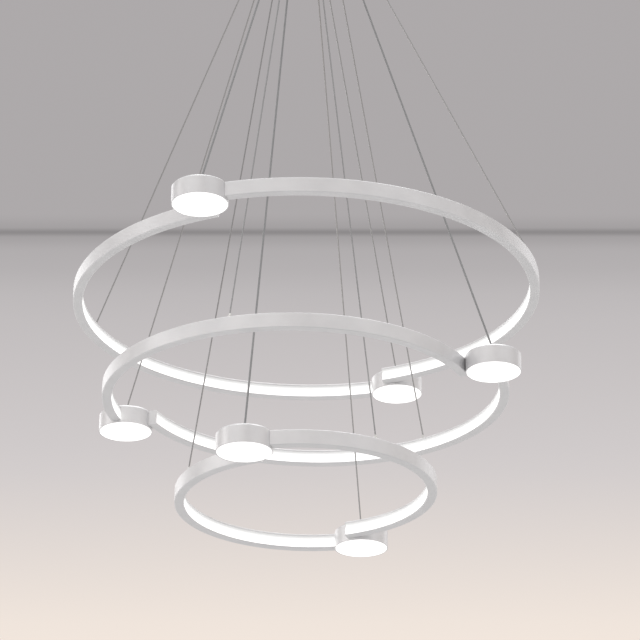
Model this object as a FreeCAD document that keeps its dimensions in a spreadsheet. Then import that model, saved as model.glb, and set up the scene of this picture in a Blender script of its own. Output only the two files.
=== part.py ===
"""Ring chandelier: three rings of light hung one above the other from a round ceiling canopy.

Each ring is two half arcs of extruded channel and two disc lamps. A half arc starts square against
the side of one disc and ends alongside the next one, on its inner side, a little past its middle.
The frame has its origin at the ceiling, in the middle of the canopy, and +Z up. Millimetres.
"""
import FreeCAD, Part

import math
import os
import re

import Sketcher

SIZES = {
    # canopy and what it holds
    "canopy_radius": 150,
    "canopy_depth": 55,
    "canopy_wall": 1.6,
    "canopy_edge_radius": 5,
    "plate_gap": 0.6,
    "plate_thickness": 2,
    "tab_width": 24,
    "tab_drop": 16,
    "tab_thickness": 3,
    "tab_screw_drop": 9,
    "ceiling_hole_circle_radius": 100,
    "ceiling_hole_radius": 2.75,
    "cable_entry_radius": 14,
    "cable_entry_offset": 60,
    "driver_length": 126,
    "driver_width": 36,
    "driver_depth": 22,
    "driver_pitch": 44,
    "driver_row_offset": -44,
    "driver_foot_length": 12,
    "driver_foot_thickness": 4,
    "terminal_length": 44,
    "terminal_width": 20,
    "terminal_depth": 16,
    "terminal_inset": 45.8,
    "terminal_ways": 4,
    "terminal_hole_radius": 2.2,
    # wire grippers and cord grips in the canopy
    "barrel_radius": 5.2,
    "barrel_height": 15,
    "barrel_roof": 3,
    "barrel_clearance": 0.15,
    "shoulder_radius": 7,
    "shoulder_drop": 12,
    "shoulder_edge": 1,
    "nose_radius": 3,
    "nose_drop": 8,
    "nose_edge": 0.8,
    "nose_lip": 2,
    "nose_flange_radius": 3.9,
    "nose_flange_height": 2,
    "nose_clearance": 0.08,
    "wire_clearance": 0.35,
    "grip_tip_radius": 4,
    "locknut_radius": 8.6,
    "locknut_height": 4,
    # wires and flexes
    "wire_radius": 1.2,
    "flex_radius": 1.7,
    "wire_tail": 42,
    "wire_bend_radius": 14,
    "wire_end_radius": 2.9,
    "wire_end_tip_radius": 2,
    "wire_end_height": 8,
    "end_gap": 0.05,
    "wire_end_stud_radius": 1.4,
    "wire_end_stud_length": 5,
    "flex_end_radius": 3.6,
    "flex_end_tip_radius": 2.6,
    # channel section
    "channel_width": 16,
    "channel_height": 25,
    "channel_edge": 1.2,
    "channel_wall": 2,
    "channel_floor": 1.2,
    "channel_roof": 2,
    "lip_low": 2.4,
    "lip_high": 3.6,
    "lip_thickness": 1.2,
    "rib_thickness": 1.2,
    "screw_boss": 5.6,
    "diffuser_thickness": 2,
    "diffuser_clearance": 0.1,
    "strip_width": 10,
    "strip_thickness": 1,
    "tape_thickness": 0.1,
    "led_size": 5,
    "led_depth": 1.6,
    "led_pitch": 25,
    "strip_end_room": 16,
    "arc_overrun": 4,
    "cap_thickness": 1.5,
    "plug_reach": 12,
    "plug_clearance": 0.2,
    # disc lamps
    "disc_radius": 45,
    "disc_height": 31.5,
    "disc_drop": 3.5,
    "disc_edge": 3,
    "disc_rim": 1.6,
    "disc_wall": 3.5,
    "disc_top": 3,
    "disc_diffuser_thickness": 3,
    "seat_depth": 1,
    "seat_clearance": 0.12,
    "board_gap": 3.5,
    "board_thickness": 1.6,
    "board_post_radius": 4,
    "board_post_height": 12,
    "board_post_inset": 8,
    "board_led_inset": 10,
    "board_leds": 12,
    "lead_hole_radius": 3,
    # one screw size throughout
    "screw_radius": 1.5,
    "screw_clearance": 0.12,
    "screw_length": 13,
    "canopy_screw_length": 6,
    "screw_edge": 0.4,
    "screw_head_radius": 2.8,
    "screw_head_height": 1.9,
    "screw_socket_radius": 1.1,
    "screw_socket_depth": 1.1,
    # large ring
    "large_arc_radius": 392,
    "large_drop": 735,
    "large_turn": 247,
    "large_exit_radius": 104,
    "large_flex_exit": 244,
    "large_disc_exit": 67,
    "large_arc_a_exit": 339,
    "large_arc_b_exit": 161,
    "large_arc_a_anchor": 94,
    "large_arc_b_anchor": 94,
    # medium ring
    "medium_arc_radius": 304,
    "medium_drop": 910,
    "medium_turn": 337,
    "medium_exit_radius": 77,
    "medium_flex_exit": 341,
    "medium_disc_exit": 165,
    "medium_arc_a_exit": 40,
    "medium_arc_b_exit": 247,
    "medium_arc_a_anchor": 77,
    "medium_arc_b_anchor": 95,
    # small ring
    "small_arc_radius": 216,
    "small_drop": 1085,
    "small_turn": 247,
    "small_exit_radius": 50,
    "small_flex_exit": 242,
    "small_disc_exit": 67,
    "small_arc_a_exit": 294,
    "small_arc_b_exit": 205,
    "small_arc_a_anchor": 57,
    "small_arc_b_anchor": 137,
}

RINGS = ("large", "medium", "small")
HALVES = {"a": 0, "b": 180}
HUNG_POINTS = ("disc", "arc_a", "arc_b")

# from the middle of a ring to the middle of a half arc's circle, towards the disc it starts at
ARC_SHIFT = "((disc_radius + channel_width / 2 - seat_depth) / 2)"
# where the wires and flexes leave the canopy
EXIT_HEIGHT = "(-canopy_depth - shoulder_drop - nose_drop)"
# the height of the top of a disc above the bottom of its ring
DISC_TOP = "(disc_height - disc_drop)"
# behind the diffuser's slot, measured across the channel from its inner face
SLOT_BACK = "(lip_thickness + diffuser_thickness)"
RIB_BACK = "(lip_thickness + diffuser_thickness + rib_thickness)"
# the lamp board inside a disc, its posts and its row of lamps
BOARD_POSTS = 3
BOARD_TOP = f"({DISC_TOP} - disc_top - board_post_height)"
BOARD_RADIUS = "(disc_radius - disc_wall - board_gap)"
POST_CIRCLE = f"({BOARD_RADIUS} - board_post_inset)"
LED_CIRCLE = f"({POST_CIRCLE} - board_led_inset)"

doc = FreeCAD.newDocument("ring_chandelier")


# ---------------------------------------------------------------- the sheet and bound values

def make_sheet():
    sheet = doc.addObject("Spreadsheet::Sheet", "sizes")
    for row, (name, value) in enumerate(SIZES.items(), start=1):
        sheet.set(f"A{row}", name)
        sheet.set(f"B{row}", str(value))
        sheet.setAlias(f"B{row}", name)
    doc.recompute()
    return sheet


def bound(text):
    """The expression, with each size named in it read from the sheet."""
    return re.sub(r"[a-z]\w*", lambda word: "sizes." + word[0] if word[0] in SIZES else word[0], text)


def bind(thing, **values):
    for path, text in values.items():
        thing.setExpression(path.replace("__", "."), bound(text))


def degrees(text):
    return f"(({text}) * 1 deg)"


def arc_degrees(length, radius):
    """The angle that a length takes up on a circle."""
    return f"(({length}) / ({radius}) * 1 rad)"


def polar(radius, angle):
    """The x and y of a point at this radius and angle, each as an expression."""
    return f"({radius}) * cos({angle})", f"({radius}) * sin({angle})"


def moved(point, forward, sideways, angle):
    """The point moved forward along the angle and sideways to its left."""
    x = f"{point[0]} + ({forward}) * cos({angle}) - ({sideways}) * sin({angle})"
    y = f"{point[1]} + ({forward}) * sin({angle}) + ({sideways}) * cos({angle})"
    return x, y


def place(thing, x="0", y="0", z="0", turn=None):
    """Bind the place, and the turn about a vertical axis."""
    if turn is not None:
        thing.Placement = FreeCAD.Placement(FreeCAD.Vector(), FreeCAD.Rotation(FreeCAD.Vector(0, 0, 1), 10))
        bind(thing, Placement__Rotation__Angle=turn)
    bind(thing, Placement__Base__x=x, Placement__Base__y=y, Placement__Base__z=z)


# ---------------------------------------------------------------- sketches and features

def new_body(label):
    body = doc.addObject("PartDesign::Body", "body_" + label)
    body.Label = label
    return body


def new_sketch(body, plane, turn=None, lift=None):
    """A sketch on one of the body's own planes, turned about the body's Z or lifted off the plane."""
    sketch = body.newObject("Sketcher::SketchObject", f"{body.Name}_sketch")
    support = next(f for f in body.Origin.OriginFeatures if f.Role == plane)
    sketch.AttachmentSupport = [(support, "")]
    sketch.MapMode = "FlatFace"
    if turn is not None:
        upright = FreeCAD.Rotation(FreeCAD.Vector(0, 1, 0), 10)
        sketch.AttachmentOffset = FreeCAD.Placement(FreeCAD.Vector(), upright)
        bind(sketch, AttachmentOffset__Rotation__Angle=turn)
    if lift is not None:
        bind(sketch, AttachmentOffset__Base__z=lift)
    return sketch


def pin_point(sketch, edge, end, x, y):
    """Hold one end of an edge at x and y. The text 0 puts it on the axis."""
    for kind, axis, text in (("DistanceX", -2, x), ("DistanceY", -1, y)):
        if text == "0":
            sketch.addConstraint(Sketcher.Constraint("PointOnObject", edge, end, axis))
        else:
            number = sketch.addConstraint(Sketcher.Constraint(kind, -1, 1, edge, end, 1.0))
            sketch.setExpression(f"Constraints[{number}]", bound(text))


def outline(sketch, points):
    """A closed outline of straight edges through the points, each point two expressions."""
    first = sketch.GeometryCount
    count = len(points)
    corners = []
    for number in range(count):
        angle = 2 * math.pi * number / count
        corners.append(FreeCAD.Vector(5 + 10 * math.cos(angle), 5 + 10 * math.sin(angle), 0))
    for number in range(count):
        sketch.addGeometry(Part.LineSegment(corners[number], corners[(number + 1) % count]), False)
    for number in range(count):
        following = first + (number + 1) % count
        sketch.addConstraint(Sketcher.Constraint("Coincident", first + number, 2, following, 1))
    for number, (x, y) in enumerate(points):
        pin_point(sketch, first + number, 1, x, y)


def rectangle(sketch, left, right, low, high):
    outline(sketch, [(left, low), (right, low), (right, high), (left, high)])


def circle(sketch, x, y, radius):
    number = sketch.addGeometry(Part.Circle(FreeCAD.Vector(3, 4, 0), FreeCAD.Vector(0, 0, 1), 2), False)
    pin_point(sketch, number, 3, x, y)
    size = sketch.addConstraint(Sketcher.Constraint("Radius", number, 2.0))
    sketch.setExpression(f"Constraints[{size}]", bound(radius))


def feature(body, kind, sketch):
    made = body.newObject(f"PartDesign::{kind}", f"{body.Name}_{kind.lower()}")
    made.Profile = (sketch, [""])
    sketch.Visibility = False
    return made


def revolve(body, sketch, angle="360 deg", back=None, kind="Revolution"):
    made = feature(body, kind, sketch)
    made.ReferenceAxis = (sketch, ["V_Axis"])
    bind(made, Angle=angle)
    if back is not None:
        made.Type = "TwoAngles"
        bind(made, Angle2=back)
    return made


def pad(body, sketch, length, down=False):
    made = feature(body, "Pad", sketch)
    made.Reversed = down
    bind(made, Length=length)
    return made


def pocket(body, sketch, length, along=False):
    """Cut against the sketch's normal, or along it."""
    made = feature(body, "Pocket", sketch)
    made.Reversed = along
    bind(made, Length=length)
    return made


def around(body, made, count, angle="360 deg"):
    """Copies of a feature about the body's Z axis."""
    pattern = body.newObject("PartDesign::PolarPattern", f"{body.Name}_pattern")
    axis = next(f for f in body.Origin.OriginFeatures if f.Role == "Z_Axis")
    pattern.Originals = [made]
    pattern.Axis = (axis, [""])
    bind(pattern, Angle=angle, Occurrences=count)
    body.Tip = pattern
    return pattern


def group(label, members):
    """Alike pieces in one node, each its own solid."""
    made = doc.addObject("Part::Compound", "group_" + label)
    made.Label = label
    made.Links = members
    return made


def copies(label, master, places):
    """Copies of one piece. Each place is x, y, z, a turn, and how far it is tipped over before the turn."""
    links = []
    for number, (x, y, z, turn, tip) in enumerate(places, start=1):
        link = doc.addObject("App::Link", f"{label}_{number}")
        link.LinkedObject = master
        turned = f"rotation(vector(0; 0; 1); {turn}) * rotation(vector(0; 1; 0); {tip})"
        bind(link, Placement=f"placement(vector({x}; {y}; {z}); {turned})")
        links.append(link)
    return group(label, links)


def screw(label, length):
    """A cap screw pointing up, with the underside of its head at the origin."""
    body = new_body(label)
    face = "-screw_head_height"
    outline_sketch = new_sketch(body, "XZ_Plane")
    outline(outline_sketch, [
        ("0", "-screw_head_height + screw_socket_depth"),
        ("screw_socket_radius", "-screw_head_height + screw_socket_depth"),
        ("screw_socket_radius", face),
        ("screw_head_radius - screw_edge", face),
        ("screw_head_radius", f"{face} + screw_edge"),
        ("screw_head_radius", "0"),
        ("screw_radius", "0"),
        ("screw_radius", f"{length} - screw_edge"),
        ("screw_radius - screw_edge", length),
        ("0", length),
    ])
    revolve(body, outline_sketch)
    return body


# ---------------------------------------------------------------- canopy

PLATE_RADIUS = "(canopy_radius - canopy_wall - plate_gap)"
TAB_FACE = f"({PLATE_RADIUS} - plate_gap)"
HOLE_RADIUS = "(screw_radius + screw_clearance)"
DRIVER_SCREW_REACH = "(driver_length / 2 + driver_foot_length / 2)"
DRIVERS = len(RINGS)


def driver_row(number):
    return f"(driver_row_offset + driver_pitch * {number - 1})"


def ceiling_plate():
    """Round steel plate on the ceiling, with four bent tabs that carry the shell."""
    body = new_body("ceiling_plate")
    disc = new_sketch(body, "XY_Plane")
    circle(disc, "0", "0", PLATE_RADIUS)
    circle(disc, "0", "cable_entry_offset", "cable_entry_radius")
    for corner in range(4):
        x, y = polar("ceiling_hole_circle_radius", f"{45 + 90 * corner} deg")
        circle(disc, x, y, "ceiling_hole_radius")
    for number in range(DRIVERS):
        for side in ("", "-"):
            circle(disc, f"{side}{DRIVER_SCREW_REACH}", driver_row(number), HOLE_RADIUS)
    pad(body, disc, "plate_thickness", down=True)
    tab = new_sketch(body, "XY_Plane", lift="-plate_thickness")
    rectangle(tab, f"{TAB_FACE} - tab_thickness", TAB_FACE, "-tab_width / 2", "tab_width / 2")
    around(body, pad(body, tab, "tab_drop - plate_thickness", down=True), "4")
    side_holes(body)


def side_holes(body):
    """Four screw holes level with the middle of the tabs, bored straight across."""
    for plane in ("XZ_Plane", "YZ_Plane"):
        hole = new_sketch(body, plane)
        circle(hole, "0", "-tab_screw_drop", HOLE_RADIUS)
        across = pocket(body, hole, "2 * canopy_radius + tab_width")
        across.SideType = "Symmetric"
        body.Tip = across


def canopy_shell(exits):
    """Spun cup that hides the gear and holds the grippers in its bottom."""
    body = new_body("canopy_shell")
    inner_edge = "(canopy_edge_radius - (2 - sqrt(2)) * canopy_wall)"
    wall = new_sketch(body, "XZ_Plane")
    outline(wall, [
        ("0", "-canopy_depth"),
        ("canopy_radius - canopy_edge_radius", "-canopy_depth"),
        ("canopy_radius", "-canopy_depth + canopy_edge_radius"),
        ("canopy_radius", "0"),
        ("canopy_radius - canopy_wall", "0"),
        ("canopy_radius - canopy_wall", f"-canopy_depth + canopy_wall + {inner_edge}"),
        (f"canopy_radius - canopy_wall - {inner_edge}", "-canopy_depth + canopy_wall"),
        ("0", "-canopy_depth + canopy_wall"),
    ])
    revolve(body, wall)
    holes = new_sketch(body, "XY_Plane", lift="-canopy_depth")
    for x, y in exits:
        circle(holes, x, y, "barrel_radius + barrel_clearance")
    pocket(body, holes, "canopy_wall + canopy_edge_radius", along=True)
    side_holes(body)


def led_drivers():
    """One driver for each ring, in a row under the plate, each with a foot at both ends."""
    body = new_body("led_driver")
    case = new_sketch(body, "XY_Plane")
    rectangle(case, "-driver_length / 2", "driver_length / 2", "-driver_width / 2", "driver_width / 2")
    pad(body, case, "driver_depth", down=True)
    reach = "(driver_length / 2 + driver_foot_length)"
    feet = new_sketch(body, "XY_Plane")
    rectangle(feet, f"-{reach}", reach, "-driver_foot_length", "driver_foot_length")
    pad(body, feet, "driver_foot_thickness", down=True)
    holes = new_sketch(body, "XY_Plane")
    for side in ("", "-"):
        circle(holes, f"{side}{DRIVER_SCREW_REACH}", "0", HOLE_RADIUS)
    pocket(body, holes, "driver_depth")
    rows = [("0", driver_row(number), "-plate_thickness", "0 deg", "0 deg") for number in range(DRIVERS)]
    return copies("led_drivers", body, rows)


def terminal_block():
    """Mains terminal block beside the cable entry, with a row of wire holes."""
    body = new_body("terminal_block")
    place(body, y=f"{PLATE_RADIUS} - terminal_inset", z="-plate_thickness")
    case = new_sketch(body, "XY_Plane")
    rectangle(case, "-terminal_length / 2", "terminal_length / 2", "-terminal_width / 2", "terminal_width / 2")
    pad(body, case, "terminal_depth", down=True)
    ways = int(SIZES["terminal_ways"])
    holes = new_sketch(body, "XZ_Plane")
    for way in range(ways):
        offset = f"terminal_length / terminal_ways * ({way} - (terminal_ways - 1) / 2)"
        circle(holes, offset, "-terminal_depth / 2", "terminal_hole_radius")
    through = pocket(body, holes, "terminal_width + terminal_depth")
    through.SideType = "Symmetric"


def canopy_screws():
    """Four side screws through the shell into the tabs, and two up through each driver's feet."""
    body = screw("canopy_screw", "canopy_screw_length")
    places = []
    for side in range(4):
        angle = f"{90 * side} deg"
        x, y = polar("canopy_radius", angle)
        places.append((x, y, "-tab_screw_drop", f"{90 * side + 180} deg", "90 deg"))
    for number in range(DRIVERS):
        for side in ("", "-"):
            level = "-plate_thickness - driver_foot_thickness"
            places.append((f"{side}{DRIVER_SCREW_REACH}", driver_row(number), level, "0 deg", "0 deg"))
    return copies("canopy_screws", body, places)


# ---------------------------------------------------------------- grippers in the canopy's bottom

def upright(points, level="-canopy_depth"):
    return [(x, y, level, "0 deg", "0 deg") for x, y in points]


def wire_grippers(exits):
    """Threaded barrels with a hollow for the release nose. Each stands in a hole of the shell."""
    body = new_body("wire_gripper")
    cavity = "(nose_flange_radius + nose_clearance)"
    mouth = "(nose_radius + nose_clearance)"
    shape = new_sketch(body, "XZ_Plane")
    outline(shape, [
        (mouth, "-shoulder_drop"),
        ("shoulder_radius - shoulder_edge", "-shoulder_drop"),
        ("shoulder_radius", "-shoulder_drop + shoulder_edge"),
        ("shoulder_radius", "0"),
        ("barrel_radius", "0"),
        ("barrel_radius", "barrel_height"),
        ("wire_radius + wire_clearance", "barrel_height"),
        ("wire_radius + wire_clearance", "barrel_height - barrel_roof"),
        (cavity, "barrel_height - barrel_roof"),
        (cavity, "-shoulder_drop + nose_lip"),
        (mouth, "-shoulder_drop + nose_lip"),
    ])
    revolve(body, shape)
    return copies("wire_gripper_barrels", body, upright(exits))


def gripper_nose(label, exit_point):
    """Release nose: pushed up into its barrel, it frees the wire. Its flange rests on the barrel's lip."""
    body = new_body(label)
    place(body, exit_point[0], exit_point[1], "-canopy_depth")
    tip = "(-shoulder_drop - nose_drop)"
    seat = "(-shoulder_drop + nose_lip)"
    bore = "(wire_radius + wire_clearance)"
    shape = new_sketch(body, "XZ_Plane")
    outline(shape, [
        (bore, tip),
        ("nose_radius - nose_edge", tip),
        ("nose_radius", f"{tip} + nose_edge"),
        ("nose_radius", seat),
        ("nose_flange_radius", seat),
        ("nose_flange_radius", f"{seat} + nose_flange_height"),
        (bore, f"{seat} + nose_flange_height"),
    ])
    revolve(body, shape)


def cord_grips(exits):
    """Grips for the three flexes, each with a domed end."""
    body = new_body("cord_grip")
    bore = "(flex_radius + wire_clearance)"
    tip = "(-shoulder_drop - nose_drop)"
    shape = new_sketch(body, "XZ_Plane")
    outline(shape, [
        (bore, tip),
        ("grip_tip_radius", tip),
        ("shoulder_radius", "-shoulder_drop"),
        ("shoulder_radius", "0"),
        ("barrel_radius", "0"),
        ("barrel_radius", "barrel_height"),
        (bore, "barrel_height"),
    ])
    revolve(body, shape)
    return copies("cord_grips", body, upright(exits))


def gripper_locknuts(exits):
    """Hexagon nuts inside the shell, one on each barrel."""
    blank = doc.addObject("Part::Prism", "locknut_blank")
    blank.Polygon = 6
    bind(blank, Circumradius="locknut_radius", Height="locknut_height")
    bore = doc.addObject("Part::Cylinder", "locknut_bore")
    bind(bore, Radius="barrel_radius + barrel_clearance / 2", Height="locknut_height")
    nut = doc.addObject("Part::Cut", "locknut")
    nut.Base = blank
    nut.Tool = bore
    return copies("gripper_locknuts", nut, upright(exits, "-canopy_depth + canopy_wall"))


# ---------------------------------------------------------------- wires and flexes

LINES = []


def hung_line(label, exit_point, end_point, end_height, radius):
    """A taut wire: straight down out of its gripper, one bend at the mouth, then straight to its end."""
    body = new_body(label)
    run_x = f"({end_point[0]} - ({exit_point[0]}))"
    run_y = f"({end_point[1]} - ({exit_point[1]}))"
    top = f"({EXIT_HEIGHT} + wire_tail)"
    place(body, exit_point[0], exit_point[1], top, f"atan2({run_y}; {run_x})")
    route = new_sketch(body, "XZ_Plane")
    tail, bend, drop = SIZES["wire_tail"], SIZES["wire_bend_radius"], SIZES["medium_drop"]
    slant = math.radians(15)
    mouth = FreeCAD.Vector(0, -tail, 0)
    corner = mouth + FreeCAD.Vector(bend * (1 - math.cos(slant)), -bend * math.sin(slant), 0)
    finish = corner + FreeCAD.Vector(drop * math.tan(slant), -drop, 0)
    route.addGeometry(Part.LineSegment(FreeCAD.Vector(0, 0, 0), mouth), False)
    ring = Part.Circle(mouth + FreeCAD.Vector(bend, 0, 0), FreeCAD.Vector(0, 0, 1), bend)
    route.addGeometry(Part.ArcOfCircle(ring, math.pi, math.pi + slant), False)
    route.addGeometry(Part.LineSegment(corner, finish), False)
    route.addConstraint(Sketcher.Constraint("Coincident", 0, 1, -1, 1))
    route.addConstraint(Sketcher.Constraint("Vertical", 0))
    route.addConstraint(Sketcher.Constraint("Tangent", 0, 2, 1, 1))
    route.addConstraint(Sketcher.Constraint("Tangent", 1, 2, 2, 1))
    size = route.addConstraint(Sketcher.Constraint("Radius", 1, bend))
    route.setExpression(f"Constraints[{size}]", bound("wire_bend_radius"))
    number = route.addConstraint(Sketcher.Constraint("DistanceY", -1, 1, 0, 2, -tail))
    route.setExpression(f"Constraints[{number}]", bound("-wire_tail"))
    # the cut end is square to the wire, so it stops just high enough to stand on its lower edge
    run = f"sqrt({run_x} * {run_x} + {run_y} * {run_y})"
    fall = f"({EXIT_HEIGHT} - {end_height})"
    rest = f"({end_height} + {radius} * {run} / sqrt({run} * {run} + {fall} * {fall}) + end_gap)"
    pin_point(route, 2, 2, run, f"{rest} - {top}")
    section = new_sketch(body, "XY_Plane")
    circle(section, "0", "0", radius)
    swept = feature(body, "AdditivePipe", section)
    swept.Spine = (route, ["Edge1", "Edge2", "Edge3"])
    route.Visibility = False
    LINES.append((body, route, section))
    return body


# ---------------------------------------------------------------- the pieces of one ring

class Ring:
    """The places on one ring, as expressions of the sheet's sizes."""

    def __init__(self, name):
        self.name = name
        self.arc = f"{name}_arc_radius"
        self.level = f"(-{name}_drop)"
        self.disc_circle = f"({self.arc} + {ARC_SHIFT})"
        # from a half arc's centre to the disc that it starts at, and to the one that it ends beside
        self.near_disc = self.arc
        self.far_disc = f"({self.arc} + 2 * {ARC_SHIFT})"
        # the angle on a half arc where it leaves the side of the disc that it starts at
        self.leave = f"(2 * asin(disc_radius / (2 * {self.arc})))"
        self.overrun = arc_degrees("arc_overrun", self.arc)

    def turn(self, half):
        return degrees(f"{self.name}_turn + {HALVES[half]}")

    def arc_centre(self, half):
        return polar(ARC_SHIFT, self.turn(half))

    def disc_centre(self, half):
        return polar(self.disc_circle, self.turn(half))

    def arc_anchor(self, half):
        angle = f"({self.turn(half)} + {degrees(f'{self.name}_arc_{half}_anchor')})"
        return moved(self.arc_centre(half), self.arc, "0", angle)

    def exit_point(self, point):
        return polar(f"{self.name}_exit_radius", degrees(f"{self.name}_{point}_exit"))

    def anchor(self, point):
        """Where a wire or the flex ends on the ring: its x, y and the height of what it stands on."""
        if point == "flex":
            return self.disc_centre("a"), DISC_TOP
        if point == "disc":
            return self.disc_centre("b"), DISC_TOP
        return self.arc_anchor(point[-1]), "channel_height"

    def from_inner_face(self, depth):
        """The radius at this depth into the channel, from its inner face."""
        return f"{self.arc} - channel_width / 2 + ({depth})"

    def from_outer_face(self, depth):
        return f"{self.arc} + channel_width / 2 - ({depth})"


def cut_for_discs(body, discs, clearance):
    """Cope the piece to the round sides of discs that stand at these places along its X axis."""
    bite = new_sketch(body, "XY_Plane", lift="-disc_drop")
    for disc in discs:
        circle(bite, disc, "0", f"disc_radius + {clearance}")
    pocket(body, bite, "channel_height + 2 * disc_drop", along=True)


def channel(ring, half):
    """Half arc of extruded channel, open towards the middle of the ring."""
    body = new_body(f"{ring.name}_channel_{half}")
    place(body, *ring.arc_centre(half), ring.level, ring.turn(half))
    inner, outer = ring.from_inner_face, ring.from_outer_face
    roof = "channel_height - channel_roof"
    section = new_sketch(body, "XZ_Plane")
    outline(section, [
        (inner("0"), "channel_edge"),
        (inner("channel_edge"), "0"),
        (outer("channel_edge"), "0"),
        (outer("0"), "channel_edge"),
        (outer("0"), "channel_height - channel_edge"),
        (outer("channel_edge"), "channel_height"),
        (inner("channel_edge"), "channel_height"),
        (inner("0"), "channel_height - channel_edge"),
        (inner("0"), "channel_height - lip_high"),
        (inner("lip_thickness"), "channel_height - lip_high"),
        (inner("lip_thickness"), roof),
        (inner(SLOT_BACK), roof),
        (inner(SLOT_BACK), "channel_height - lip_high"),
        (inner(RIB_BACK), "channel_height - lip_high"),
        (inner(RIB_BACK), roof),
        (outer("screw_boss"), roof),
        (outer("screw_boss"), "channel_height - screw_boss"),
        (outer("channel_wall"), "channel_height - screw_boss"),
        (outer("channel_wall"), "screw_boss"),
        (outer("screw_boss"), "screw_boss"),
        (outer("screw_boss"), "channel_floor"),
        (inner(RIB_BACK), "channel_floor"),
        (inner(RIB_BACK), "lip_low"),
        (inner(SLOT_BACK), "lip_low"),
        (inner(SLOT_BACK), "channel_floor"),
        (inner("lip_thickness"), "channel_floor"),
        (inner("lip_thickness"), "lip_low"),
        (inner("0"), "lip_low"),
    ])
    for height in ("screw_boss / 2", "channel_height - screw_boss / 2"):
        circle(section, outer("screw_boss / 2"), height, HOLE_RADIUS)
    revolve(body, section, f"180 deg + {ring.overrun}")
    cut_for_discs(body, [ring.near_disc, f"-{ring.far_disc}"], "seat_clearance")
    anchor = new_sketch(body, "XY_Plane", lift="channel_height")
    x, y = polar(ring.arc, degrees(f"{ring.name}_arc_{half}_anchor"))
    circle(anchor, x, y, "wire_end_stud_radius + screw_clearance")
    pocket(body, anchor, "channel_roof + channel_edge")
    seat = new_sketch(body, "YZ_Plane")
    circle(seat, "0", "channel_height / 2", HOLE_RADIUS)
    pocket(body, seat, f"{ring.arc} + channel_width")


def diffuser(ring, half):
    """White strip that slides in the channel's slot and fills its opening flush."""
    body = new_body(f"{ring.name}_diffuser_{half}")
    place(body, *ring.arc_centre(half), ring.level, ring.turn(half))
    face = ring.from_inner_face("0")
    front = ring.from_inner_face("lip_thickness + diffuser_clearance")
    back = ring.from_inner_face(f"{SLOT_BACK} - diffuser_clearance")
    low, high = "lip_low + diffuser_clearance", "channel_height - lip_high - diffuser_clearance"
    foot, head = "channel_floor + diffuser_clearance", "channel_height - channel_roof - diffuser_clearance"
    section = new_sketch(body, "XZ_Plane")
    outline(section, [
        (face, low), (front, low), (front, foot), (back, foot),
        (back, head), (front, head), (front, high), (face, high),
    ])
    revolve(body, section, f"180 deg + {arc_degrees('arc_overrun - diffuser_clearance', ring.arc)}")
    cut_for_discs(body, [ring.near_disc, f"-{ring.far_disc}"], "seat_clearance + diffuser_clearance")


def led_strip(ring, half):
    """Flexible board along the back of the channel, with a row of lamps."""
    body = new_body(f"{ring.name}_led_strip_{half}")
    place(body, *ring.arc_centre(half), ring.level, ring.turn(half))
    start = arc_degrees("disc_radius + strip_end_room", ring.arc)
    finish = arc_degrees("plug_reach + strip_end_room", ring.arc)
    length = f"(180 deg - {start} - {finish})"
    back = ring.from_outer_face("channel_wall + tape_thickness")
    front = ring.from_outer_face("channel_wall + tape_thickness + strip_thickness")
    lamp_face = f"{front} - led_depth"
    middle = "channel_height / 2"
    board = new_sketch(body, "XZ_Plane", turn=start)
    rectangle(board, front, back, f"{middle} - strip_width / 2", f"{middle} + strip_width / 2")
    revolve(body, board, length)
    lamp = new_sketch(body, "XZ_Plane", turn=f"{start} + {arc_degrees('led_size', ring.arc)}")
    rectangle(lamp, lamp_face, front, f"{middle} - led_size / 2", f"{middle} + led_size / 2")
    one = revolve(body, lamp, arc_degrees("led_size", ring.arc))
    row = f"({length} - 3 * {arc_degrees('led_size', ring.arc)})"
    around(body, one, f"floor({row} / {arc_degrees('led_pitch', ring.arc)}) + 1", row)
    return body


def end_plug(ring, half):
    """Closes the free end of a half arc: a plate over it, and a block inside that takes the seat screw."""
    body = new_body(f"{ring.name}_end_plug_{half}")
    place(body, *ring.arc_centre(half), ring.level, f"{ring.turn(half)} + 180 deg")
    block = new_sketch(body, "XZ_Plane")
    left = ring.from_inner_face(f"{RIB_BACK} + plug_clearance")
    right = ring.from_outer_face("channel_wall + plug_clearance")
    rectangle(block, left, right, "screw_boss + plug_clearance", "channel_height - screw_boss - plug_clearance")
    revolve(body, block, ring.overrun, back=arc_degrees("plug_reach", ring.arc))
    plate = new_sketch(body, "XZ_Plane", turn=ring.overrun)
    inner, outer = ring.from_inner_face, ring.from_outer_face
    outline(plate, [
        (inner("0"), "channel_edge"),
        (inner("channel_edge"), "0"),
        (outer("channel_edge"), "0"),
        (outer("0"), "channel_edge"),
        (outer("0"), "channel_height - channel_edge"),
        (outer("channel_edge"), "channel_height"),
        (inner("channel_edge"), "channel_height"),
        (inner("0"), "channel_height - channel_edge"),
    ])
    revolve(body, plate, arc_degrees("cap_thickness", ring.arc))
    cut_for_discs(body, [ring.far_disc], "seat_clearance")
    hole = new_sketch(body, "YZ_Plane")
    circle(hole, "0", "channel_height / 2", HOLE_RADIUS)
    pocket(body, hole, f"{ring.arc} + channel_width", along=True)
    return body


def port_offset(ring):
    """How far the line of an end screw passes from the middle of the disc."""
    return f"({ring.from_outer_face('screw_boss / 2')} - {ring.arc} * cos({ring.leave}))"


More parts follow.
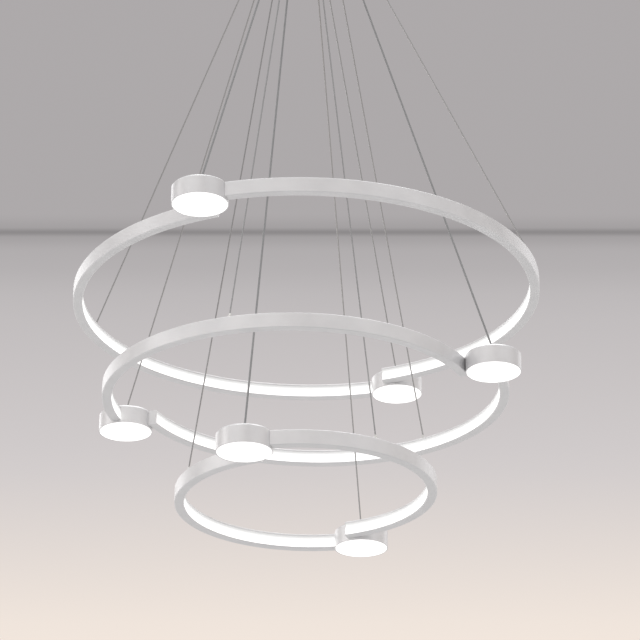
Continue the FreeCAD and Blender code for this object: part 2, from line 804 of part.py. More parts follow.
def disc_housing(ring, half):
    """Turned cup, open below. It is drilled for the arcs' screws, the leads and the hanging point."""
    body = new_body(f"{ring.name}_disc_housing_{half}")
    place(body, *ring.disc_centre(half), ring.level, ring.turn(half))
    seat = "-disc_drop + disc_diffuser_thickness"
    shape = new_sketch(body, "XZ_Plane")
    outline(shape, [
        ("0", DISC_TOP),
        ("disc_radius - disc_edge", DISC_TOP),
        ("disc_radius", f"{DISC_TOP} - disc_edge"),
        ("disc_radius", "-disc_drop"),
        ("disc_radius - disc_rim", "-disc_drop"),
        ("disc_radius - disc_rim", seat),
        ("disc_radius - disc_wall", seat),
        ("disc_radius - disc_wall", f"{DISC_TOP} - disc_top"),
        ("0", f"{DISC_TOP} - disc_top"),
    ])
    revolve(body, shape)
    post = new_sketch(body, "XY_Plane", lift=f"{DISC_TOP} - disc_top")
    circle(post, POST_CIRCLE, "0", "board_post_radius")
    circle(post, POST_CIRCLE, "0", HOLE_RADIUS)
    around(body, pad(body, post, "board_post_height", down=True), str(BOARD_POSTS))
    hang = new_sketch(body, "XY_Plane", lift=DISC_TOP)
    circle(hang, "0", "0", "wire_end_stud_radius + screw_clearance")
    pocket(body, hang, "disc_top + disc_edge")
    arc_end = new_sketch(body, "XZ_Plane", turn=ring.leave)
    for height in ("screw_boss / 2", "channel_height - screw_boss / 2"):
        circle(arc_end, port_offset(ring), height, HOLE_RADIUS)
    circle(arc_end, f"{ring.arc} * (1 - cos({ring.leave}))", "channel_height / 2", "lead_hole_radius")
    pocket(body, arc_end, "disc_radius + disc_wall")
    side = new_sketch(body, "YZ_Plane")
    circle(side, "0", "channel_height / 2", HOLE_RADIUS)
    pocket(body, side, "disc_radius + disc_wall")
    return body


def disc_diffuser(ring, half):
    """Opal disc in the rim of the housing."""
    body = new_body(f"{ring.name}_disc_diffuser_{half}")
    place(body, *ring.disc_centre(half), ring.level, ring.turn(half))
    edge = "disc_radius - disc_rim - diffuser_clearance"
    shape = new_sketch(body, "XZ_Plane")
    outline(shape, [
        ("0", "-disc_drop"),
        (f"{edge} - diffuser_clearance", "-disc_drop"),
        (edge, "-disc_drop + diffuser_clearance"),
        (edge, "-disc_drop + disc_diffuser_thickness - diffuser_clearance"),
        ("0", "-disc_drop + disc_diffuser_thickness - diffuser_clearance"),
    ])
    revolve(body, shape)
    return body


def disc_board(ring, half):
    """Round lamp board under the posts, with its lamps facing down."""
    body = new_body(f"{ring.name}_disc_board_{half}")
    place(body, *ring.disc_centre(half), ring.level, ring.turn(half))
    plate = new_sketch(body, "XY_Plane", lift=BOARD_TOP)
    circle(plate, "0", "0", BOARD_RADIUS)
    for post in range(BOARD_POSTS):
        x, y = polar(POST_CIRCLE, f"{360 / BOARD_POSTS * post} deg")
        circle(plate, x, y, HOLE_RADIUS)
    pad(body, plate, "board_thickness", down=True)
    lamp = new_sketch(body, "XY_Plane", lift=f"{BOARD_TOP} - board_thickness")
    rectangle(lamp, f"{LED_CIRCLE} - led_size / 2", f"{LED_CIRCLE} + led_size / 2", "-led_size / 2", "led_size / 2")
    around(body, pad(body, lamp, "led_depth", down=True), "board_leds")
    return body


def ring_screws(ring, master):
    """Screws inside each disc: two into the end of one arc, one into the side of the other, three
    that hold the lamp board."""
    places = []
    inner_wall = "(disc_radius - disc_wall)"
    for half in HALVES:
        centre, turn = ring.disc_centre(half), ring.turn(half)
        leave = f"({turn} + {ring.leave})"
        offset = port_offset(ring)
        reach = f"({offset} + screw_head_radius)"
        along = f"sqrt({inner_wall} * {inner_wall} - {reach} * {reach})"
        x, y = moved(centre, offset, along, leave)
        for height in ("screw_boss / 2", "channel_height - screw_boss / 2"):
            places.append((x, y, f"{ring.level} + {height}", f"{leave} + 90 deg", "90 deg"))
        back = f"-sqrt({inner_wall} * {inner_wall} - screw_head_radius * screw_head_radius)"
        x, y = moved(centre, back, "0", turn)
        places.append((x, y, f"{ring.level} + channel_height / 2", f"{turn} + 180 deg", "90 deg"))
        for post in range(BOARD_POSTS):
            angle = f"({turn} + {360 / BOARD_POSTS * post} deg)"
            x, y = moved(centre, POST_CIRCLE, "0", angle)
            places.append((x, y, f"{ring.level} + {BOARD_TOP} - board_thickness", turn, "0 deg"))
    return copies(f"{ring.name}_ring_screws", master, places)


def line_end(label, radius, tip_radius):
    """Cone that a wire or flex ends in, with a stud below that goes into what it hangs."""
    body = new_body(label)
    shape = new_sketch(body, "XZ_Plane")
    outline(shape, [
        ("0", "wire_end_height"),
        (tip_radius, "wire_end_height"),
        (radius, "wire_end_height / 3"),
        (radius, "0"),
        ("wire_end_stud_radius", "0"),
        ("wire_end_stud_radius", "-wire_end_stud_length"),
        ("0", "-wire_end_stud_length"),
    ])
    revolve(body, shape)
    return body


def ring_pieces(ring, ring_screw, wire_end, flex_end):
    for half in HALVES:
        channel(ring, half)
        diffuser(ring, half)
        disc_housing(ring, half)
    group(f"{ring.name}_led_strips", [led_strip(ring, half) for half in HALVES])
    group(f"{ring.name}_end_plugs", [end_plug(ring, half) for half in HALVES])
    group(f"{ring.name}_disc_diffusers", [disc_diffuser(ring, half) for half in HALVES])
    group(f"{ring.name}_disc_boards", [disc_board(ring, half) for half in HALVES])
    ring_screws(ring, ring_screw)
    ends = []
    for point in ("flex", *HUNG_POINTS):
        (x, y), height = ring.anchor(point)
        end = doc.addObject("App::Link", f"{ring.name}_{point}_end")
        end.LinkedObject = flex_end if point == "flex" else wire_end
        place(end, x, y, f"{ring.level} + {height}")
        ends.append(end)
    group(f"{ring.name}_line_ends", ends)


def ring_lines(ring):
    """The ring's flex, its three wires and the release noses that the wires pass through."""
    wires = []
    for point in ("flex", *HUNG_POINTS):
        end_point, height = ring.anchor(point)
        radius = "flex_radius" if point == "flex" else "wire_radius"
        label = f"{ring.name}_flex" if point == "flex" else f"{ring.name}_{point}_wire"
        end_height = f"({ring.level} + {height} + wire_end_height)"
        line = hung_line(label, ring.exit_point(point), end_point, end_height, radius)
        if point != "flex":
            wires.append(line)
            gripper_nose(f"{ring.name}_{point}_gripper_nose", ring.exit_point(point))
    group(f"{ring.name}_wires", wires)


# ---------------------------------------------------------------- build, test and write

def build():
    make_sheet()
    rings = [Ring(name) for name in RINGS]
    wire_exits = [ring.exit_point(point) for ring in rings for point in HUNG_POINTS]
    flex_exits = [ring.exit_point("flex") for ring in rings]
    ceiling_plate()
    canopy_shell(wire_exits + flex_exits)
    led_drivers()
    terminal_block()
    canopy_screws()
    wire_grippers(wire_exits)
    cord_grips(flex_exits)
    gripper_locknuts(wire_exits + flex_exits)
    ring_screw = screw("ring_screw", "screw_length")
    wire_end = line_end("wire_end", "wire_end_radius", "wire_end_tip_radius")
    flex_end = line_end("flex_end", "flex_end_radius", "flex_end_tip_radius")
    for ring in rings:
        ring_pieces(ring, ring_screw, wire_end, flex_end)
        ring_lines(ring)
    doc.recompute()


def nodes():
    """The pieces that stand for themselves: bodies and groups that no other object is made from."""
    found = []
    for thing in doc.Objects:
        if thing.TypeId not in ("PartDesign::Body", "Part::Compound"):
            continue
        users = [user for user in thing.InList if user.TypeId in ("Part::Compound", "App::Link")]
        if not users:
            found.append(thing)
    return found


def test_lines():
    """Each wire and flex: its length, its bend, and its volume against its section times its length."""
    for body, route, section in LINES:
        length = route.Shape.Length
        bend = min(edge.Curve.Radius for edge in route.Shape.Edges if isinstance(edge.Curve, Part.Circle))
        width = 2 * section.Shape.Edges[0].Curve.Radius
        expected = math.pi * width * width / 4 * length
        if abs(body.Shape.Volume / expected - 1) > 0.001:
            raise RuntimeError(f"{body.Label} does not have the volume of its route")
        print(f"{body.Label}: {length:.1f} mm long, {width:.1f} mm thick, tightest bend radius {bend:.1f} mm")


def test_and_write():
    for thing in doc.Objects:
        if "Invalid" in thing.State or "Error" in thing.State:
            raise RuntimeError(f"{thing.Name} ({thing.Label}) did not compute: {thing.State}")
    pieces = nodes()
    for piece in pieces:
        shape = piece.Shape
        if shape.isNull() or not shape.isValid() or not shape.Solids:
            raise RuntimeError(f"{piece.Label} has no valid solid")
    test_lines()
    os.makedirs("parts", exist_ok=True)
    for piece in pieces:
        piece.Shape.exportStep(f"parts/{piece.Label}.step")
        box = piece.Shape.BoundBox
        print(f"{piece.Label}: {len(piece.Shape.Solids)} solids, {piece.Shape.Volume:.1f} mm3, "
              f"z {box.ZMin:.2f} to {box.ZMax:.2f}")
    print(f"{len(pieces)} nodes")


build()
test_and_write()
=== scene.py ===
import math

import bpy
from mathutils import Matrix, Vector

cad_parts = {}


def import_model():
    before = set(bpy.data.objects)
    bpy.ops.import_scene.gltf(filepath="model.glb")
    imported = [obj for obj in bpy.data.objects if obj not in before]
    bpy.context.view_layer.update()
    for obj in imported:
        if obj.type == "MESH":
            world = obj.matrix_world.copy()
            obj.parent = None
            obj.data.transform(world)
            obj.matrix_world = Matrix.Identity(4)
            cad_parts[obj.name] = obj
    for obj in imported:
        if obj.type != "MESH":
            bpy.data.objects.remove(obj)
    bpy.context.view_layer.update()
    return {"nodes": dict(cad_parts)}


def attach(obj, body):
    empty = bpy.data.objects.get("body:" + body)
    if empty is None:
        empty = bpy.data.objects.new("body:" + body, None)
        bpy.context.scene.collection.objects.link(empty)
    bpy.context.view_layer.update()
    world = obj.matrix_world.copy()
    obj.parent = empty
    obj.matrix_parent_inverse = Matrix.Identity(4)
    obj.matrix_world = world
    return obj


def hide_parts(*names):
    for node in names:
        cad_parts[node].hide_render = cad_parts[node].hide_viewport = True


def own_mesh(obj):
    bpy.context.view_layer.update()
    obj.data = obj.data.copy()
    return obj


# Led ring chandelier: the finishes of its pieces, its taut wires and flexes, and a plain studio.
# Metres, in the light's own frame: the origin is on the ceiling, in the middle of the canopy, +Z up.

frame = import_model()
nodes = frame["nodes"]

RINGS = ("large", "medium", "small")
HALVES = {"a": 0, "b": 180}
WIRED_POINTS = ("disc", "arc_a", "arc_b")

# ---------------------------------------------------------------- where the lines run

WIRE_RADIUS = 0.0012
FLEX_RADIUS = 0.0017
LINE_TOP = -0.033                 # the cut ends of the wires and flexes, inside the canopy
GRIPPER_MOUTH = -0.075            # where a line leaves its gripper and turns towards its ring
ARC_SHIFT = 0.026                 # a half arc's centre lies this far from the middle of its ring
ON_DISC = 0.036                   # the top of a line's end fitting on a disc, above the ring's level
ON_ARC = 0.033                    # and on a half arc
BEND_RADIUS = 0.014               # of the one bend, just below the mouth

ARC_RADIUS = {"large": 0.392, "medium": 0.304, "small": 0.216}
DROP = {"large": 0.735, "medium": 0.910, "small": 1.085}
TURN = {"large": 247, "medium": 337, "small": 247}          # which way disc a of a ring lies

EXIT_RADIUS = {"large": 0.104, "medium": 0.077, "small": 0.050}
EXIT_ANGLE = {
    "large": {"flex": 244, "disc": 67, "arc_a": 339, "arc_b": 161},
    "medium": {"flex": 341, "disc": 165, "arc_a": 40, "arc_b": 247},
    "small": {"flex": 242, "disc": 67, "arc_a": 294, "arc_b": 205},
}
# where on its half arc a wire ends, in degrees from the arc's own disc
ARC_ANCHOR = {
    "large": {"a": 94, "b": 94},
    "medium": {"a": 77, "b": 95},
    "small": {"a": 57, "b": 137},
}


def polar(radius, angle, height=0.0):
    turned = math.radians(angle)
    return Vector((radius * math.cos(turned), radius * math.sin(turned), height))


def line_end(ring, point):
    """The top of the fitting that a wire or flex ends in, on a disc or on a half arc."""
    if point in ("flex", "disc"):
        half = TURN[ring] + (0 if point == "flex" else 180)
        return polar(ARC_RADIUS[ring] + ARC_SHIFT, half, ON_DISC - DROP[ring])
    half = TURN[ring] + HALVES[point[-1]]
    anchor = half + ARC_ANCHOR[ring][point[-1]]
    return polar(ARC_SHIFT, half) + polar(ARC_RADIUS[ring], anchor, ON_ARC - DROP[ring])


def line_route(ring, point):
    """The route of one wire or flex: down out of its gripper, one bend, then straight to its ring."""
    exit_at = polar(EXIT_RADIUS[ring], EXIT_ANGLE[ring][point])
    end = line_end(ring, point)
    mouth = exit_at + Vector((0, 0, GRIPPER_MOUTH))
    lean = (mouth - end).angle(Vector((0, 0, 1)))
    reach = Vector((0, 0, BEND_RADIUS * math.tan(lean / 2)))
    corner = mouth - reach
    run = (end - corner).normalized() * reach.z * 2
    return [exit_at + Vector((0, 0, LINE_TOP)), mouth + reach, corner, corner + run, end]


# ---------------------------------------------------------------- shader arithmetic

class Value:
    """One output of a finish's nodes. Arithmetic on it adds Math nodes."""

    def __init__(self, finish, socket):
        self.finish = finish
        self.socket = socket

    def math(self, operation, *values):
        return self.finish.node("ShaderNodeMath", {"operation": operation}, *values)

    def __add__(self, other):
        return self.math("ADD", self, other)

    def __sub__(self, other):
        return self.math("SUBTRACT", self, other)

    def __rsub__(self, other):
        return self.math("SUBTRACT", other, self)

    def __mul__(self, other):
        return self.math("MULTIPLY", self, other)

    def __truediv__(self, other):
        return self.math("DIVIDE", self, other)

    __radd__ = __add__
    __rmul__ = __mul__

    def wave(self):
        """0 to 1 and back each time this value grows by one."""
        turned = self * math.tau
        return turned.math("SINE", turned) * 0.5 + 0.5

    def root(self):
        return self.math("SQRT", self)

    def without_sign(self):
        return self.math("ABSOLUTE", self)

    def larger(self, other):
        return self.math("MAXIMUM", self, other)

    def turn_from(self, across):
        """The angle, in radians, of a point that lies this far along and so far across."""
        return self.math("ARCTAN2", self, across)

    def between(self, low, high):
        """0 below low, 1 above high, and a smooth rise from one to the other."""
        settings = {"interpolation_type": "SMOOTHSTEP"}
        return self.finish.node("ShaderNodeMapRange", settings, self, low, high)


MIX_COLOUR_INPUTS = (6, 7)        # the two colours of a Mix node that is set to RGBA
MIX_COLOUR_OUTPUT = 2


class Finish:
    """A material that is built up from nodes, around one Principled shader."""

    def __init__(self, name, tree=None):
        self.material = None
        if tree is None:
            self.material = bpy.data.materials.new(name)
            self.material.use_nodes = True
            tree = self.material.node_tree
        self.tree = tree
        self.shader = tree.nodes.get("Principled BSDF")

    def node(self, kind, settings, *values, output=0, **named):
        """Adds a node, with its settings first, and returns one of its outputs."""
        made = self.tree.nodes.new(kind)
        for name, setting in settings.items():
            if name == "stops":
                self.set_stops(made.color_ramp, setting)
            else:
                setattr(made, name, setting)
        for socket, value in zip(made.inputs, values):
            self.feed(socket, value)
        for name, value in named.items():
            self.feed(made.inputs[name], value)
        return Value(self, made.outputs[output])

    def feed(self, socket, value):
        if isinstance(value, Value):
            self.tree.links.new(value.socket, socket)
        else:
            socket.default_value = value

    def set_stops(self, ramp, stops):
        ramp.elements.remove(ramp.elements[1])
        ramp.elements[0].position = stops[0][0]
        ramp.elements[0].color = (*stops[0][1], 1.0)
        for place, colour in stops[1:]:
            ramp.elements.new(place).color = (*colour, 1.0)

    def set(self, **sockets):
        """Feeds the shader's sockets: Base_Color stands for Base Color."""
        for name, value in sockets.items():
            self.feed(self.shader.inputs[name.replace("_", " ")], value)

    def place(self, centre=(0.0, 0.0, 0.0)):
        """Where a point of the piece is, seen from this centre."""
        here = self.node("ShaderNodeTexCoord", {}, output="Object")
        return self.node("ShaderNodeVectorMath", {"operation": "SUBTRACT"}, here, centre)

    def split(self, vector):
        parted = self.node("ShaderNodeSeparateXYZ", {}, vector, output="X").socket.node
        return [Value(self, parted.outputs[axis]) for axis in "XYZ"]

    def join(self, across, along, up):
        return self.node("ShaderNodeCombineXYZ", {}, across, along, up)

    def round_place(self, centre):
        """Distance from an upright axis through the centre, turn about it in radians, and height."""
        across, along, up = self.split(self.place(centre))
        return (across * across + along * along).root(), along.turn_from(across), up

    def on_tube(self):
        """How far up a line from its lower end, in metres, and round it, from 0 to 1."""
        along = self.node("ShaderNodeAttribute", {"attribute_name": "along"}, output="Fac")
        around = self.split(self.node("ShaderNodeUVMap", {"uv_map": "UVMap"}))[1]
        return along, around

    def noise(self, where, scale, detail=2.0):
        return self.node("ShaderNodeTexNoise", {}, Vector=where, Scale=scale, Detail=detail)

    def cells(self, feature, output, scale):
        return self.node("ShaderNodeTexVoronoi", {"feature": feature}, Vector=self.place(),
                         Scale=scale, output=output)

    def blend(self, share, first, second):
        """A colour between two others."""
        made = self.node("ShaderNodeMix", {"data_type": "RGBA"}, share, output=MIX_COLOUR_OUTPUT)
        for number, colour in zip(MIX_COLOUR_INPUTS, (first, second)):
            filled = colour if isinstance(colour, Value) else (*colour, 1.0)
            self.feed(made.socket.node.inputs[number], filled)
        return made

    def bump(self, height, strength, distance):
        return self.node("ShaderNodeBump", {}, Strength=strength, Distance=distance, Height=height)


# ---------------------------------------------------------------- finishes

ANODISED = 0.65                   # how metallic the pale anodised skin of the aluminium looks


def satin_extrusion(name, centre):
    """Anodised channel: fine die lines that run along the arc, over a faint cloudiness."""
    finish = Finish(name)
    out, turn, up = finish.round_place(centre)
    die_lines = finish.noise(finish.join(out * 1500, turn * 10, up * 1500), scale=1.0, detail=3.0)
    clouds = finish.noise(finish.place(), scale=26.0, detail=3.0)
    finish.set(
        Base_Color=finish.blend(clouds.between(0.25, 0.75), (0.775, 0.772, 0.778), (0.825, 0.82, 0.825)),
        Metallic=ANODISED,
        Roughness=0.37 + clouds * 0.08 + die_lines * 0.06,
        Normal=finish.bump(die_lines, strength=0.035, distance=0.0001),
    )
    return finish.material


def satin_spinning(name, centre):
    """Anodised disc housing, turned on a lathe: fine rings round its own axis."""
    finish = Finish(name)
    out, turn, up = finish.round_place(centre)
    tool_rings = finish.noise(finish.join(out * 1400, turn * 0.6, up * 1400), scale=1.0, detail=3.0)
    clouds = finish.noise(finish.place(), scale=30.0, detail=3.0)
    finish.set(
        Base_Color=finish.blend(clouds.between(0.25, 0.75), (0.785, 0.782, 0.788), (0.835, 0.83, 0.835)),
        Metallic=ANODISED,
        Roughness=0.33 + clouds * 0.08 + tool_rings * 0.08,
        Normal=finish.bump(tool_rings, strength=0.10, distance=0.0001),
    )
    return finish.material


def satin_plug(name):
    """Anodised plate that closes a channel: bead blasted, so an even fine grain."""
    finish = Finish(name)
    grain = finish.noise(finish.place(), scale=1200.0)
    finish.set(
        Base_Color=finish.blend(grain, (0.77, 0.767, 0.773), (0.82, 0.817, 0.82)),
        Metallic=ANODISED,
        Roughness=0.40 + grain * 0.08,
        Normal=finish.bump(grain, strength=0.10, distance=0.0001),
    )
    return finish.material


def lit_opal(name, low, high):
    """Opal plastic, lit from behind: the glow fades from the height low up to the height high."""
    finish = Finish(name)
    up = finish.split(finish.place())[2]
    haze = finish.noise(finish.place(), scale=90.0)
    finish.set(
        Base_Color=finish.blend(haze, (0.88, 0.88, 0.87), (0.92, 0.92, 0.915)),
        Roughness=0.34 + haze * 0.10,
        Emission_Color=finish.blend(up.between(low, high), (1.0, 0.985, 0.965), (0.08, 0.078, 0.077)),
        Emission_Strength=1.0,
    )
    return finish.material


def canopy_paint(name):
    """Satin white powder coat: a faint orange peel and barely uneven tone."""
    finish = Finish(name)
    peel = finish.noise(finish.place(), scale=520.0, detail=1.5)
    tone = finish.noise(finish.place(), scale=9.0, detail=3.0)
    finish.set(
        Base_Color=finish.blend(tone, (0.81, 0.81, 0.805), (0.86, 0.86, 0.857)),
        Roughness=0.34 + peel * 0.10,
        Coat_Weight=0.15,
        Normal=finish.bump(peel, strength=0.12, distance=0.0003),
    )
    return finish.material


def zinc_plate(name):
    """Zinc plated sheet: dull, with small crystals of slightly different tone."""
    finish = Finish(name)
    tone = finish.split(finish.cells("F1", "Color", scale=160.0))[0]
    smear = finish.noise(finish.place(), scale=34.0, detail=4.0)
    finish.set(
        Base_Color=finish.blend(tone * 0.6 + smear * 0.4, (0.56, 0.57, 0.60), (0.69, 0.70, 0.71)),
        Metallic=1.0,
        Roughness=0.36 + tone * 0.12 + smear * 0.06,
        Normal=finish.bump(smear, strength=0.05, distance=0.0003),
    )
    return finish.material


def bright_steel(name):
    """Zinc plated machine screws: bright, with a little wear."""
    finish = Finish(name)
    wear = finish.noise(finish.place(), scale=700.0, detail=3.0)
    finish.set(
        Base_Color=finish.blend(wear, (0.62, 0.62, 0.64), (0.74, 0.74, 0.755)),
        Metallic=1.0,
        Roughness=0.24 + wear * 0.16,
        Normal=finish.bump(wear, strength=0.04, distance=0.0001),
    )
    return finish.material


def nickel(name):
    """Turned and nickel plated brass: rings from the tool, warm grey, fairly bright."""
    finish = Finish(name)
    up = finish.split(finish.place())[2]
    tool_rings = finish.noise(finish.join(0.0, 0.0, up * 3000), scale=1.0)
    bloom = finish.noise(finish.place(), scale=240.0, detail=3.0)
    finish.set(
        Base_Color=finish.blend(bloom, (0.70, 0.69, 0.665), (0.80, 0.79, 0.77)),
        Metallic=1.0,
        Roughness=0.18 + bloom * 0.12 + tool_rings * 0.05,
        Normal=finish.bump(tool_rings, strength=0.04, distance=0.0001),
    )
    return finish.material


def lamp_board(name):
    """White solder mask, with a trace of the copper tracks under it."""
    finish = Finish(name)
    tracks = finish.cells("DISTANCE_TO_EDGE", "Distance", scale=130.0)
    dust = finish.noise(finish.place(), scale=900.0)
    finish.set(
        Base_Color=finish.blend(tracks.between(0.03, 0.09), (0.84, 0.845, 0.80), (0.92, 0.92, 0.89)),
        Roughness=0.42 + dust * 0.14,
        Normal=finish.bump(tracks.between(0.02, 0.08), strength=0.10, distance=0.0001),
    )
    return finish.material


def moulding(name, dark, painted_glow, roughness):
    """Injection moulded plastic with a spark eroded grain."""
    finish = Finish(name)
    grain = finish.noise(finish.place(), scale=1400.0)
    tone = finish.noise(finish.place(), scale=20.0)
    finish.set(
        Base_Color=finish.blend(tone, dark, painted_glow),
        Roughness=roughness + grain * 0.12,
        Normal=finish.bump(grain, strength=0.12, distance=0.0001),
    )
    return finish.material


STRANDS = 6
STRAND_LAY = 0.008                # the length in which a strand goes once round its wire
CORES = 2
CORE_TURNS = 40.0                 # the cores' turns in a metre of flex


def stranded_wire(name):
    """Bare steel wire rope: strands wound round it, each a rounded ridge, with painted shade in the groove
    beside it.
    """
    finish = Finish(name)
    along, around = finish.on_tube()
    ridge = (around * STRANDS + along * (STRANDS / STRAND_LAY)).wave()
    finish.set(
        # painted shade: the base colour darkens in the groove beside each strand
        Base_Color=finish.blend(ridge.between(0.0, 0.6), (0.28, 0.277, 0.277), (0.38, 0.376, 0.376)),
        Metallic=1.0,
        Roughness=0.32 - ridge * 0.06,
        Normal=finish.bump(ridge, strength=0.10, distance=0.00006),
    )
    return finish.material


def flex_jacket(name):
    """Grey jacket of the flex: smooth, with a faint waviness from the cores in it."""
    finish = Finish(name)
    along, around = finish.on_tube()
    cores = (around * CORES + along * CORE_TURNS).wave()
    scuffs = finish.noise(finish.place(), scale=320.0, detail=3.0)
    finish.set(
        Base_Color=finish.blend(scuffs, (0.27, 0.266, 0.266), (0.34, 0.336, 0.336)),
        Roughness=0.40 + scuffs * 0.12,
        Normal=finish.bump(cores, strength=0.15, distance=0.0002),
    )
    return finish.material


# ---------------------------------------------------------------- dress the CAD pieces

ARC_GLOW_FADES = (0.0085, 0.0215)  # heights above the ring's level, up to the channel's upper lip
ALL_LIT = (10.0, 11.0)             # heights above the whole light, so that the discs glow evenly


def dress(node, material):
    slots = nodes[node].data.materials
    slots.clear()
    slots.append(material)


def dress_canopy():
    nickel_plate = nickel("nickel_plate")
    finishes = {
        "ceiling_plate": zinc_plate("zinc_plated_sheet"),
        "canopy_shell": canopy_paint("white_powder_coat"),
        "canopy_screws": bright_steel("screw_plating"),
        "led_drivers": moulding("driver_housing", (0.84, 0.84, 0.835), (0.90, 0.90, 0.895), 0.42),
        "terminal_block": moulding("terminal_housing", (0.78, 0.775, 0.74), (0.86, 0.855, 0.83), 0.36),
        "wire_gripper_barrels": nickel_plate,
        "cord_grips": nickel_plate,
        "gripper_locknuts": nickel_plate,
    }
    for node, material in finishes.items():
        dress(node, material)
    for ring in RINGS:
        for point in WIRED_POINTS:
            dress(f"{ring}_{point}_gripper_nose", nickel_plate)


def dress_halves(ring):
    """The two half arcs and the two discs of a ring, each with lines round its own centre."""
    low, high = (above - DROP[ring] for above in ARC_GLOW_FADES)
    arc_glow = lit_opal(f"{ring}_arc_glow", low, high)
    for half, turned in HALVES.items():
        centre = polar(ARC_SHIFT, TURN[ring] + turned)
        disc = polar(ARC_RADIUS[ring] + ARC_SHIFT, TURN[ring] + turned)
        dress(f"{ring}_channel_{half}", satin_extrusion(f"{ring}_arc_{half}_satin", centre))
        dress(f"{ring}_disc_housing_{half}", satin_spinning(f"{ring}_disc_{half}_satin", disc))
        dress(f"{ring}_diffuser_{half}", arc_glow)


def dress_rings():
    board = lamp_board("solder_mask")
    finishes = {
        "disc_diffusers": lit_opal("disc_glow", *ALL_LIT),
        "end_plugs": satin_plug("blasted_plug"),
        "led_strips": board,
        "disc_boards": board,
        "ring_screws": bright_steel("ring_screw_plating"),
        "line_ends": nickel("line_end_plate"),
    }
    for ring in RINGS:
        dress_halves(ring)
        for part, material in finishes.items():
            dress(f"{ring}_{part}", material)


# ---------------------------------------------------------------- the wires and flexes

SMOOTH_BELOW = 50                 # degrees: a tube is shaded smooth, with crisp cut ends


def tube_along(name, route, radius):
    """A round tube on the smooth line that the route's points steer."""
    curve = bpy.data.curves.new(name, "CURVE")
    curve.dimensions = "3D"
    curve.resolution_u = 10
    curve.bevel_depth = radius
    curve.bevel_resolution = 4
    curve.use_fill_caps = True
    spline = curve.splines.new("NURBS")
    spline.points.add(len(route) - 1)
    for point, place in zip(spline.points, route):
        point.co = (*place, 1.0)
    spline.order_u = 3
    spline.use_endpoint_u = True
    tube = bpy.data.objects.new(name, curve)
    bpy.context.scene.collection.objects.link(tube)
    bpy.ops.object.select_all(action="DESELECT")
    tube.select_set(True)
    bpy.context.view_layer.objects.active = tube
    bpy.ops.object.convert(target="MESH")
    tube = bpy.context.object
    bpy.ops.object.shade_smooth_by_angle(angle=math.radians(SMOOTH_BELOW))
    return tube


def measure_along(tube, end):
    """Keeps, at each point of the tube, how far it is from the line's lower end."""
    along = tube.data.attributes.new("along", "FLOAT", "POINT")
    along.data.foreach_set("value", [(vertex.co - end).length for vertex in tube.data.vertices])


def hang_line(ring, point, material):
    """One wire or flex, hung from the canopy down to its ring."""
    route = line_route(ring, point)
    is_flex = point == "flex"
    name = f"{ring}_flex_jacket" if is_flex else f"{ring}_{point}_wire"
    tube = tube_along(name, route, FLEX_RADIUS if is_flex else WIRE_RADIUS)
    measure_along(tube, route[-1])
    tube.data.materials.clear()
    tube.data.materials.append(material)
    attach(tube, "canopy")
    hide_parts(f"{ring}_flex" if is_flex else f"{ring}_wires")
    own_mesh(tube)


def hang_lines():
    rope = stranded_wire("wire_rope")
    jacket = flex_jacket("grey_jacket")
    for ring in RINGS:
        hang_line(ring, "flex", jacket)
        for point in WIRED_POINTS:
            hang_line(ring, point, rope)


# ---------------------------------------------------------------- studio

EYE = Vector((0.0112, -4.5792, -2.8001))
LOOK_UP = 23.97                   # degrees, as the two below
LOOK_ROUND = -0.166
LOOK_ROLL = -0.078
LENS = 168.75
SENSOR = 36.0


def camera():
    data = bpy.data.cameras.new("camera")
    data.lens = LENS
    data.sensor_width = SENSOR
    data.clip_start = 0.1
    data.clip_end = 100.0
    made = bpy.data.objects.new("camera", data)
    bpy.context.scene.collection.objects.link(made)
    turned = Matrix.Rotation(math.radians(LOOK_ROUND), 4, "Z")
    tilted = Matrix.Rotation(math.radians(90 + LOOK_UP), 4, "X")
    rolled = Matrix.Rotation(math.radians(LOOK_ROLL), 4, "Z")
    made.matrix_world = Matrix.Translation(EYE) @ turned @ tilted @ rolled
    bpy.context.scene.camera = made


def seen_directly(finish):
    """1 for what the camera sees, also in metal or through glass, and 0 for light that falls on things."""
    ray = finish.node("ShaderNodeLightPath", {}).socket.node
    camera_ray, glossy, through = (
        Value(finish, ray.outputs[f"Is {kind} Ray"]) for kind in ("Camera", "Glossy", "Transmission"))
    return camera_ray.larger(glossy.larger(through))


FLOOR_LEVEL = -3.2
FLOOR_SIZE = 80.0
PAINTED_GLOW_FROM = 1.5                   # metres from under the light, where the floor's painted glow starts
PAINTED_GLOW_BY = 5.0                     # and where the painted glow is strongest
PAINTED_GLOW_SHARE = 0.8
PALE = (0.84, 0.82, 0.81)


def floor():
    """Plain matt floor with the light's shadow on it. A few metres from the light, a painted glow seen
    only by the camera and in reflections makes it paler.
    """
    bpy.ops.object.select_all(action="DESELECT")
    bpy.ops.mesh.primitive_plane_add(size=FLOOR_SIZE, location=(0, 0, FLOOR_LEVEL))
    plane = bpy.context.object
    plane.name = "floor"
    finish = Finish("floor_matt_painted_glow")
    tone = finish.noise(finish.place(), scale=0.4)
    finish.set(
        Base_Color=finish.blend(tone, (0.70, 0.69, 0.68), (0.73, 0.72, 0.71)),
        Roughness=0.85,
    )
    away = finish.round_place((0.0, 0.0, 0.0))[0]
    # painted light: a pale glow, seen only by the camera and in reflections, that grows away from the
    # light
    painted_glow = finish.node("ShaderNodeEmission", {}, (*PALE, 1.0), 1.0)
    share = seen_directly(finish) * away.between(PAINTED_GLOW_FROM, PAINTED_GLOW_BY) * PAINTED_GLOW_SHARE
    matt = Value(finish, finish.shader.outputs["BSDF"])
    both = finish.node("ShaderNodeMixShader", {}, share, matt, painted_glow)
    finish.feed(finish.tree.nodes["Material Output"].inputs["Surface"], both)
    plane.data.materials.append(finish.material)


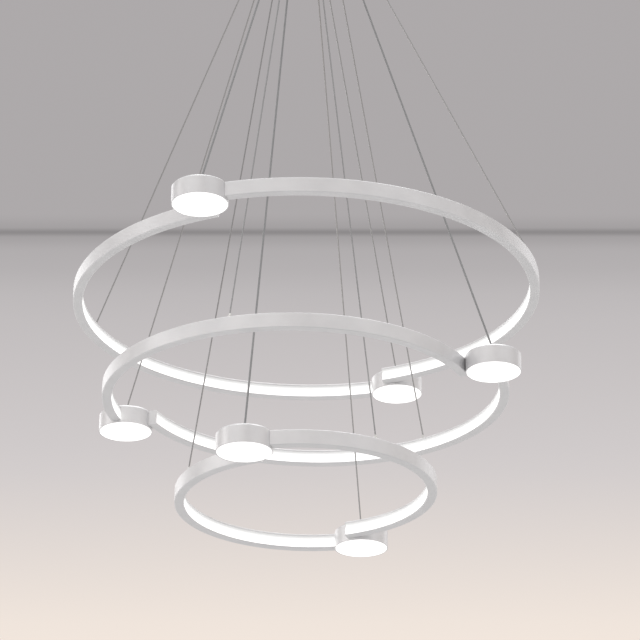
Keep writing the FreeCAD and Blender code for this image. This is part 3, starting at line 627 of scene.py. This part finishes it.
# The studio is a very large square room. These are the colours of its walls and ceiling, by the height
# of a point on a wall: 0 is straight down, 0.5 level with the eye, and 1 straight up.
BACKDROP = (
    (0.570, PALE),
    (0.640, (0.92, 0.82, 0.74)),
    (0.655, (0.88, 0.79, 0.72)),
    (0.681, (0.64, 0.605, 0.605)),
    (0.706, (0.525, 0.50, 0.505)),
    (0.7125, (0.44, 0.42, 0.425)),
    (0.719, (0.42, 0.40, 0.405)),
    (0.765, (0.42, 0.40, 0.405)),
    (0.850, (0.80, 0.79, 0.79)),
    (0.950, (1.00, 1.00, 1.00)),
)
CORNER = 0.7164                   # where the walls meet the ceiling: a soft dark line of painted shade
CORNER_PAINTED_SHADES = ((0.0030, 0.15), (0.0008, 0.22))            # how far each band of painted shade reaches, and how dark it is
SKY_LIGHT = (0.98, 0.985, 1.0)
SKY_STRENGTH = 0.72


def world():
    made = bpy.data.worlds.new("studio")
    made.use_nodes = True
    bpy.context.scene.world = made
    made.node_tree.nodes.clear()
    sky = Finish("studio", made.node_tree)
    across, along, up = sky.split(sky.node("ShaderNodeTexCoord", {}, output="Generated"))
    wall = across.without_sign().larger(along.without_sign())
    height = up / (wall * wall + up * up).root() * 0.5 + 0.5
    from_corner = (height - CORNER).without_sign()
    # painted shade: a soft dark line where the walls meet the ceiling
    wide_painted_shade, narrow_painted_shade = ((1 - from_corner.between(0.0, reach)) * dark for reach, dark in CORNER_PAINTED_SHADES)
    backdrop = sky.node("ShaderNodeValToRGB", {"stops": BACKDROP}, height)
    seen = sky.blend(wide_painted_shade + narrow_painted_shade, backdrop, (0.0, 0.0, 0.0))
    shown = sky.node("ShaderNodeBackground", {}, seen, 1.0)
    light = sky.node("ShaderNodeBackground", {}, (*SKY_LIGHT, 1.0), SKY_STRENGTH)
    both = sky.node("ShaderNodeMixShader", {}, seen_directly(sky), light, shown)
    output = made.node_tree.nodes.new("ShaderNodeOutputWorld")
    sky.feed(output.inputs["Surface"], both)


# each soft lamp's name, place, width and height in metres, and power in watts
LAMPS = (
    ("key", (-2.6, -4.4, 1.6), (6.5, 6.5), 26.0),
    ("top", (0.3, 1.7, 3.0), (2.6, 2.6), 24.0),
    ("edge_left", (-2.8, 3.6, 1.2), (2.2, 2.2), 18.0),
    ("edge_right", (3.4, 3.4, 1.2), (2.2, 2.2), 10.0),
    ("strip_left", (-3.6, -0.6, -0.9), (0.9, 4.5), 15.0),
    ("fill_right", (4.0, -3.4, 0.8), (6.0, 6.0), 14.0),
)
LAMPS_AIM = Vector((0.0, 0.0, -0.8))


def soft_lamp(name, place, size, power):
    data = bpy.data.lights.new(name, "AREA")
    data.shape = "ELLIPSE"
    data.size, data.size_y = size
    data.energy = power
    made = bpy.data.objects.new(name, data)
    bpy.context.scene.collection.objects.link(made)
    made.location = place
    made.rotation_euler = (LAMPS_AIM - Vector(place)).to_track_quat("-Z", "Y").to_euler()
    made.visible_camera = False


def studio():
    camera()
    floor()
    world()
    for lamp in LAMPS:
        soft_lamp(*lamp)


# ---------------------------------------------------------------- put it together

hang_lines()
dress_canopy()
dress_rings()
studio()
bpy.context.scene.view_settings.view_transform = "Standard"
